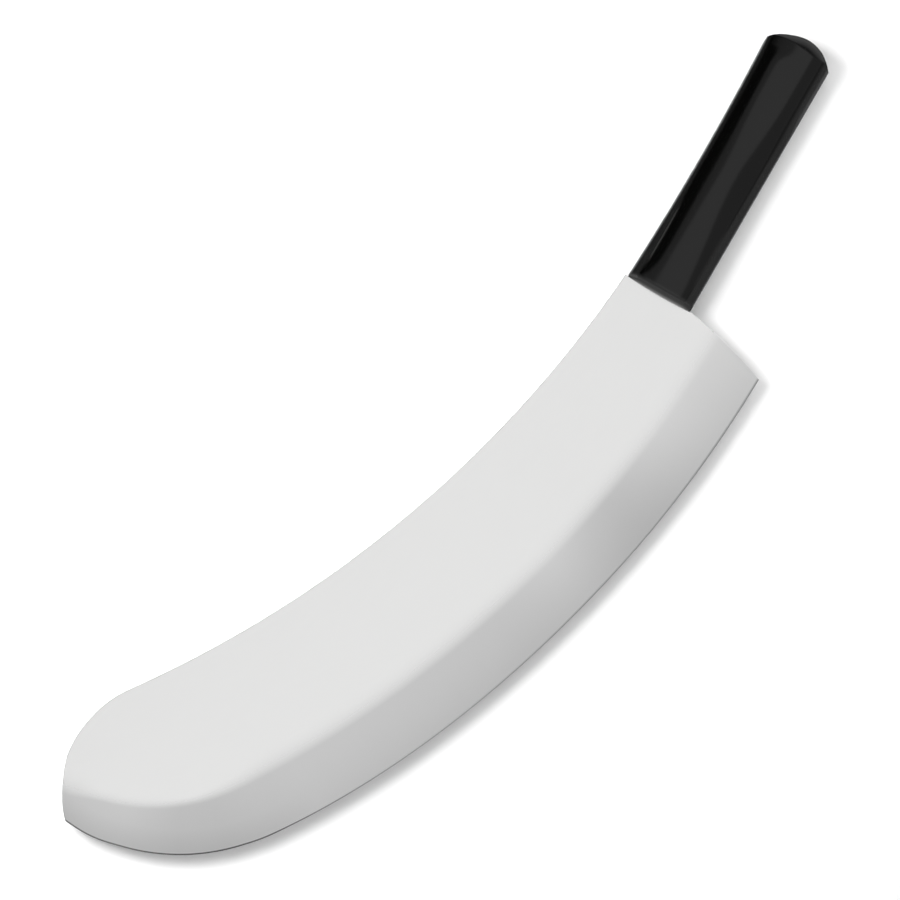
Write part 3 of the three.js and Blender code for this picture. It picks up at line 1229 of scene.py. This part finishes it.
def closed_mesh(name: str, bm: bmesh.types.BMesh) -> bpy.types.Mesh:
    """Turns a closed bmesh's faces outwards and makes it a mesh.

    Args:
        name: the mesh's name.
        bm: the shape, which is freed.

    Returns:
        The mesh.
    """
    bmesh.ops.recalc_face_normals(bm, faces=bm.faces)
    if bm.calc_volume(signed=True) < 0:
        bmesh.ops.reverse_faces(bm, faces=bm.faces)
    mesh = bpy.data.meshes.new(name)
    bm.to_mesh(mesh)
    bm.free()
    return mesh


def prism(
    name: str, outline: Sequence[complex], holes: Iterable[Sequence[complex]], low: float, high: float
) -> bpy.types.Mesh:
    """A flat outline with holes, drawn up between two levels.

    Args:
        name: the mesh's name.
        outline: points round the outside.
        holes: rings of points round the holes.
        low: the lower level.
        high: the upper level.

    Returns:
        A closed mesh.
    """
    bm = bmesh.new()
    rings = [outline, *holes]
    made = {z: [[bm.verts.new((p.real, p.imag, z)) for p in ring] for ring in rings] for z in (low, high)}
    for z, way in ((low, -1), (high, 1)):
        edges = ring_edges(bm, *made[z])
        bmesh.ops.triangle_fill(bm, use_beauty=True, edges=edges, normal=(0, 0, way))
    for below, above in zip(made[low], made[high]):
        for i in range(len(below)):
            bm.faces.new((below[i - 1], below[i], above[i], above[i - 1]))
    return closed_mesh(name, bm)


@dataclass(frozen=True)
class EndWall:
    """How an end of the grip rolls over into the crowned faces: an elliptic arc above a straight wall."""

    depth: float
    rise: float
    steepness: float

    def fall(self, depth: np.ndarray) -> np.ndarray:
        """How far the roll lies below its top at these depths inside the end."""
        rest = self.steepness * (1 - np.clip(depth / self.depth, 0.0, 1.0))
        return self.rise * (1 - np.sqrt(1 - rest**2))


@dataclass(frozen=True)
class Flat:
    """A stretch of an outline that lies a little inside its curve."""

    centre: float
    span: float
    depth: float

    def at(self, y: np.ndarray) -> np.ndarray:
        """How far the outline lies inside, at distances across."""
        share = np.clip(np.abs(y - self.centre) / self.span, 0.0, 1.0)
        return self.depth * np.cos(np.pi / 2 * share) ** 2


@dataclass
class Handle:
    """The grip: crowned faces between leaning flanks, a waist, a bowed front and an arched butt."""

    front: complex
    tang: Tang
    finish: bpy.types.Material
    middle: float
    length: float = 0.1406
    width: float = 0.0343
    thickness: float = 0.022
    waist_depth: float = 0.0016
    butt_rise: float = 0.0082
    front_edge: float = -0.0004
    front_bow: float = 0.0006
    waist_place: float = 0.066
    swell_place: float = 0.110
    crest: Triple = (-0.0036, -0.0004, -0.0009)
    fullness: Triple = (3.0, 2.0, 3.3)
    face_drop: float = 0.0030
    guard_drop: float = 0.0008
    upper_flank: Triple = (0.0042, 0.0025, 0.0023)
    lower_flank: Triple = (0.0048, 0.0042, 0.0035)
    flank_slope: float = 42.0
    flank_round: float = 0.0007
    front_end: EndWall = EndWall(depth=0.0050, rise=0.0105, steepness=0.93)
    butt_end: EndWall = EndWall(depth=0.0090, rise=0.020, steepness=0.6)
    butt_flats: tuple[Flat, ...] = (Flat(0.008, 0.011, 0.0007), Flat(-0.015, 0.006, 0.0005))
    butt_over: float = 0.00058
    butt_reach: float = 0.0003
    front_fullness: float = 2.05
    butt_fullness: float = 1.5
    butt_drop: float = 0.0032
    front_lift: float = 0.0008
    front_fall: float = 0.018
    butt_fall: Pair = (0.122, 0.131)
    sheen_and_wear_from: Pair = (0.006, 0.016)
    sheen_and_wear_to: Pair = (0.034, 0.046)
    lower_sheen_and_wear: float = 0.5
    wall_slope: float = 400.0
    parting_land: float = 0.0006
    clearance: float = 0.0003
    slot_depth: float = 0.0041
    crease_reach: float = 0.0005
    crease_angle: float = 24.0
    bead_radius: float = 0.00016
    bead_sides: int = 8
    bead_step: float = 0.002
    bead_crease_angle: float = 50.0
    end_zone: float = 0.007
    end_steps: int = 28
    end_bunching: float = 1.5
    long_steps: int = 66
    cross_steps: int = 96
    settling_rounds: int = 6

    def build(self) -> list[bpy.types.Object]:
        """Makes the grip and its parting line.

        Returns:
            The finished pieces.
        """
        grip = new_piece("handle_grip", self._skin())
        self._cut_pocket(grip)
        grip.data.materials.clear()
        grip.data.materials.append(self.finish)
        shade(grip.data, self.crease_angle)
        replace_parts(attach(grip, BODY), "handle")
        line = new_piece("handle_parting_line", self._parting_path())
        self._bead().run(line)
        shade(line.data, self.bead_crease_angle)
        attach(line, BODY)
        return [piece for piece in (grip, line)]

    @property
    def half(self) -> float:
        """Half of the handle's width."""
        return self.width / 2

    @property
    def shoulder(self) -> float:
        """How far the butt's corners are from the handle's front."""
        return self.length - self.butt_rise

    @staticmethod
    def _bow(half_chord: float, rise: float) -> float:
        """Radius of an arc with this half chord and rise."""
        return (half_chord**2 + rise**2) / (2 * rise)

    def _upper_side(self, x: np.ndarray) -> np.ndarray:
        """The waisted upper side at a distance from the front."""
        return self.half - self.waist_depth * (1 - (2 * x / self.shoulder - 1) ** 2)

    def _butt_flat(self, y: np.ndarray) -> np.ndarray:
        """How far the butt's outline lies inside its arch."""
        return sum(flat.at(y) for flat in self.butt_flats)

    def _end_depths(self, x: np.ndarray, y: np.ndarray) -> tuple[np.ndarray, np.ndarray]:
        """Depths inside the bowed front and inside the arched butt.

        Args:
            x: distances from the front.
            y: distances from the axis.

        Returns:
            The two depths of each point.
        """
        front_radius = self._bow(self.half, self.front_bow)
        butt_radius = self._bow(self.half, self.butt_rise)
        front = front_radius - np.hypot(x - (self.front_edge - self.front_bow + front_radius), y)
        butt = butt_radius - np.hypot(x + self._butt_flat(y) - (self.length - butt_radius), y)
        butt = np.where(x < self.length - butt_radius, self.length, butt)
        return front, butt

    def _plan_grid(self) -> tuple[np.ndarray, np.ndarray]:
        """Points of the outline's inside, closer together towards the sides and the ends.

        Returns:
            Distances from the front and from the axis.
        """
        zone = self.end_zone / self.length * np.linspace(0.0, 1.0, self.end_steps + 1) ** self.end_bunching
        middle = np.linspace(zone[-1], 1 - zone[-1], self.long_steps + 1)
        a = np.concatenate([zone, middle[1:-1], 1 - zone[::-1]])[:, None]
        b = (1 - np.cos(np.linspace(0.0, np.pi, self.cross_steps + 1)))[None, :] / 2
        front_radius = self._bow(self.half, self.front_bow)
        butt_radius = self._bow(self.half, self.butt_rise)
        x = a * self.length + 0 * b
        for _ in range(self.settling_rounds):
            y = -self.half + (self._upper_side(x) + self.half) * b
            front = self.front_edge - self.front_bow + front_radius - np.sqrt(front_radius**2 - y**2)
            butt = self.length - butt_radius + np.sqrt(butt_radius**2 - y**2) - self._butt_flat(y)
            x = front + (butt - front) * a
        return x, y

    def _along_grip(self, x: np.ndarray, sizes: Triple) -> np.ndarray:
        """A size that changes smoothly from the front over the waist to the butt.

        Args:
            x: distances from the front.
            sizes: the size at those three places.

        Returns:
            The size at each distance.
        """
        front, waist, butt = sizes
        ahead = front + (waist - front) * ease(x / self.waist_place)
        return ahead + (butt - ahead) * self._passed(x, (self.waist_place, self.swell_place))

    @staticmethod
    def _passed(x: np.ndarray, stretch: Pair) -> np.ndarray:
        """How much of a stretch from one distance to another lies behind, from 0 to 1."""
        return ease((x - stretch[0]) / (stretch[1] - stretch[0]))

    def _heights(self, x: np.ndarray, y: np.ndarray) -> tuple[np.ndarray, np.ndarray]:
        """The skin above the parting line: the least of crown, flanks and ends, with rounded creases.

        Args:
            x: distances from the front.
            y: distances from the axis.

        Returns:
            Heights, and how close each point is to a crease.
        """
        foot = self.parting_land / 2
        top = self.thickness / 2
        slope = math.tan(math.radians(self.flank_slope))

        def flank(depth: np.ndarray, width: np.ndarray, crease: np.ndarray) -> np.ndarray:
            """A flank that rises straight, turns in and leans to the crease.

            Args:
                depth: distances inside the handle's side.
                width: the flank's width.
                crease: the height that it ends at.

            Returns:
                Its height.
            """
            rest = 1 - np.clip(depth / self.flank_round, 0.0, 1.0)
            curve = crease - (width - depth) * slope - self.flank_round * (1 - np.sqrt(1 - rest**2))
            return np.minimum(curve, foot + self.wall_slope * depth)

        upper_width = self._along_grip(x, self.upper_flank)
        lower_width = self._along_grip(x, self.lower_flank)
        crest = self._along_grip(x, self.crest)
        fullness = self._along_grip(x, self.fullness)
        near_front = 1 - ease(x / self.front_fall)
        near_butt = self._passed(x, self.butt_fall)
        upper_drop = self.face_drop - near_front * self.front_lift
        upper_drop = upper_drop + near_butt * (self.butt_drop - self.face_drop)
        lower_drop = self._along_grip(x, (self.guard_drop, self.face_drop, self.face_drop))
        upper_side = self._upper_side(x)
        above = y > crest
        reach = np.where(above, upper_side - upper_width - crest, crest + self.half - lower_width)
        flatter = near_front * (self.front_fullness - fullness)
        flatter = flatter + near_butt * (self.butt_fullness - fullness)
        power = fullness + np.where(above, flatter, 0.0)
        height = top - np.where(above, upper_drop, lower_drop) * (np.abs(y - crest) / reach) ** power

        closeness = np.zeros_like(height)
        # The stretch where the creases carry the painted highlight and a rougher finish, weaker on the lower
        # side.
        sheen_and_wear = self._passed(x, self.sheen_and_wear_from) * (1 - self._passed(x, self.sheen_and_wear_to))
        walls = [
            (flank(upper_side - y, upper_width, top - upper_drop), sheen_and_wear),
            (flank(y + self.half, lower_width, top - lower_drop), sheen_and_wear * self.lower_sheen_and_wear),
        ]
        for wall, sheen_and_wear_share in walls:
            rounded = soft_min(height, wall, self.crease_reach)
            near = (np.minimum(height, wall) - rounded) / (self.crease_reach * CORNER_CUT)
            closeness = np.maximum(closeness, near * sheen_and_wear_share)
            height = rounded

        front, butt = self._end_depths(x, y)
        height = height - self.front_end.fall(front) * np.clip(height / top, 0.0, 1.0)
        inside = np.maximum(butt - self.butt_end.depth, 0.0)
        height = soft_min(height, top + self.butt_over - self.butt_end.fall(butt) + inside, self.butt_reach)
        for depth in (front, butt):
            height = np.minimum(height, foot + self.wall_slope * depth)
        return np.maximum(height, foot / 2), closeness

    def _skin(self) -> bpy.types.Mesh:
        """The grip's outside.

        Returns:
            A closed mesh that keeps how close each vertex is to a crease.
        """
        x, y = self._plan_grid()
        height, closeness = self._heights(x, y)
        bm = bmesh.new()
        layer = bm.verts.layers.float.new("crease")
        sheets = []
        for side in Side:
            sheet = []
            for row in range(x.shape[0]):
                line = []
                for column in range(x.shape[1]):
                    spot = self.front + complex(x[row, column], y[row, column])
                    level = self.middle + side.value * height[row, column]
                    made = bm.verts.new((spot.real, spot.imag, level))
                    made[layer] = closeness[row, column]
                    line.append(made)
                sheet.append(line)
            add_quads(bm, sheet)
            there = [line[-1] for line in sheet[1:-1]]
            back = [line[0] for line in sheet[-2:0:-1]]
            sheets.append([*sheet[0], *there, *sheet[-1][::-1], *back])
        upper, lower = sheets
        for i in range(len(upper)):
            bm.faces.new((upper[i - 1], upper[i], lower[i], lower[i - 1]))
        return closed_mesh("handle_skin", bm)

    def _cut_pocket(self, grip: bpy.types.Object) -> None:
        """Opens the front for the blade's shoulders and the inside for the tang.

        Args:
            grip: the closed grip.
        """
        ahead = 2 * (self.front_edge - self.front_bow)
        beside = self.width
        outline = [
            self.front + complex(ahead, -beside),
            self.front + complex(ahead, beside),
            self.front + complex(self.clearance, beside),
            *self.tang.sides(self.front, self.clearance),
            self.front + complex(self.clearance, -beside),
        ]
        plugs = self.tang.holes(self.front, self.clearance)
        deep = self.slot_depth / 2
        pocket = prism("tang_pocket", outline, plugs, self.middle - deep, self.middle + deep)
        cutter = new_piece("tang_pocket", pocket)
        modifier = grip.modifiers.new("pocket", "BOOLEAN")
        modifier.operation = "DIFFERENCE"
        modifier.solver = "EXACT"
        modifier.object = cutter
        settle(grip)
        bpy.data.objects.remove(cutter)

    def _parting_path(self) -> bpy.types.Mesh:
        """The way of the parting line along the lower side, round the butt and back along the upper side.

        Returns:
            A mesh of edges alone.
        """
        x, y = self._plan_grid()
        grid = x + 1j * y
        outline = np.concatenate([grid[:, 0], grid[-1, 1:-1], grid[::-1, -1]])
        path = self.front + outline[outline.real > 2 * self.clearance]
        mesh = bpy.data.meshes.new("parting_path")
        points = [(p.real, p.imag, self.middle) for p in path]
        mesh.from_pydata(points, [(i, i + 1) for i in range(len(path) - 1)], [])
        return mesh

    def _bead(self) -> GeometryPlan:
        """The thin raised line that the mould's two halves leave, swept along its path.

        Returns:
            The tree that sweeps it.
        """
        plan = GeometryPlan("parting_bead", titled(self, "bead_radius bead_sides bead_step"))
        curve = plan.field("GeometryNodeMeshToCurve", None, {"Mesh": plan.size("Geometry")})
        spacing = {"Curve": curve, "Length": plan.size("Bead Step")}
        even = plan.field("GeometryNodeResampleCurve", {"mode": "LENGTH"}, spacing)
        profile = plan.field(
            "GeometryNodeCurvePrimitiveCircle",
            {"mode": "RADIUS"},
            {"Resolution": plan.size("Bead Sides"), "Radius": plan.size("Bead Radius")},
        )
        bead = plan.field(
            "GeometryNodeCurveToMesh", None, {"Curve": even, "Profile Curve": profile, "Fill Caps": True}
        )
        plan.close(bead, self.finish)
        return plan


@dataclass(frozen=True)
class Lamp:
    """A rectangular light that faces straight down."""

    name: str
    place: Triple
    size: Pair
    radiance: float
    reflected: bool = True

    def hang(self) -> None:
        """Puts the light into the scene."""
        light = bpy.data.lights.new(self.name, "AREA")
        light.shape = "RECTANGLE"
        light.size, light.size_y = self.size
        light.energy = self.radiance * math.pi * light.size * light.size_y
        lamp = bpy.data.objects.new(self.name, light)
        lamp.location = self.place
        lamp.visible_camera = False
        lamp.visible_glossy = self.reflected
        bpy.context.scene.collection.objects.link(lamp)


@dataclass
class Studio:
    """White paper under the knife, soft light and the camera of a straight-on view."""

    middle: float
    aim: Pair = (-0.0047, 0.0125)
    view_width: float = 0.432
    lens: float = 200.0
    sensor: float = 36.0
    turn: float = -59.9
    paper_size: float = 12.0
    paper_gap: float = 0.00005
    lamps: tuple[Lamp, ...] = (
        Lamp("ceiling", (-0.1, -0.93, 1.55), (3.8, 3.55), 0.43),
        Lamp("softbox", (-0.2, -0.05, 1.5), (2.3, 0.84), 0.45),
        Lamp("paper_key", (0.0, 0.67, 0.72), (0.44, 0.92), 10.5, reflected=False),
        Lamp("paper_fill", (0.40, -0.04, 0.45), (0.4, 0.4), 1.85, reflected=False),
    )
    far_clip: float = 50.0
    horizon_glow: float = 0.33
    horizon_top: Pair = (0.10, 0.20)
    end_glow: float = 1.1
    butt_wall_top: Pair = (0.40, 0.30)
    edge_glow: float = 0.3
    edge_wall_top: Pair = (0.45, 0.15)

    def build(self) -> None:
        """Sets the stage, the lights and the camera."""
        self._lay_paper()
        for lamp in self.lamps:
            lamp.hang()
        self._light_room()
        self._place_camera()

    def _lay_paper(self) -> None:
        """Lays the white paper just under the handle's lower face."""
        half = self.paper_size / 2
        mesh = bpy.data.meshes.new("white_paper")
        corners = ((-half, -half), (half, -half), (half, half), (-half, half))
        mesh.from_pydata([(x, y, -self.paper_gap) for x, y in corners], [], [(0, 1, 2, 3)])
        mesh.materials.append(MattePaper().make())
        new_piece("white_paper", mesh)

    def _light_room(self) -> None:
        """Gives the room a dim horizon, bright walls past the knife's ends and a dim one by its edge."""
        world = bpy.data.worlds.new("studio_room")
        bpy.context.scene.world = world
        world.use_nodes = True
        plan = Plan(world.node_tree)
        east, north, up = plan.parts(plan.field("ShaderNodeTexCoord", None, None, "Generated"))

        def below(top: Pair) -> Field:
            """1 up to a height and 0 from the end of the fade above it on."""
            return 1 - ((up - top[0]) / top[1]).share()

        toe_side = (-east).at_least(0.0)
        butt_side = east.at_least(0.0)
        edge_side = (-north).at_least(0.0)
        end_walls = toe_side * toe_side + butt_side * butt_side * below(self.butt_wall_top)
        edge_wall = edge_side * edge_side * below(self.edge_wall_top)
        glow = self.horizon_glow * below(self.horizon_top) + self.end_glow * end_walls
        glow = glow + self.edge_glow * edge_wall
        light = plan.field("ShaderNodeBackground", None, {"Color": glow})
        plan.node("ShaderNodeOutputWorld", None, {"Surface": light})

    def _place_camera(self) -> None:
        """Looks straight down on the blade's side, turned as in the photograph."""
        camera = bpy.data.cameras.new("straight_on")
        camera.lens = self.lens
        camera.sensor_width = self.sensor
        camera.clip_end = self.far_clip
        eye = bpy.data.objects.new("straight_on", camera)
        eye.location = (*self.aim, self.middle + self.view_width * self.lens / self.sensor)
        eye.rotation_euler = (0.0, 0.0, math.radians(self.turn))
        bpy.context.scene.collection.objects.link(eye)
        bpy.context.scene.camera = eye
        bpy.context.scene.view_settings.view_transform = "Standard"


def main() -> None:
    """Builds the knife and its studio."""
    logging.basicConfig(level=logging.INFO, format="%(name)s: %(message)s")
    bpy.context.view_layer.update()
    low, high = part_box("blade")
    middle = (low.z + high.z) / 2
    front = complex(low.x + Crescent.reach, low.y + Crescent.heel_drop + Crescent.grip_half)
    outline = Crescent(front)
    tang = Tang()
    steel = GroundSteel().make(outline, Blade.bevel_width)
    plastic = MouldedPlastic().make()
    pieces = [Blade(outline, tang, steel, middle).build()]
    pieces += Handle(front, tang, plastic, middle).build()
    for piece in pieces:
        LOG.info("%s: %d faces", piece.name, len(piece.data.polygons))
    Studio(middle).build()


if __name__ == "__main__":
    main()
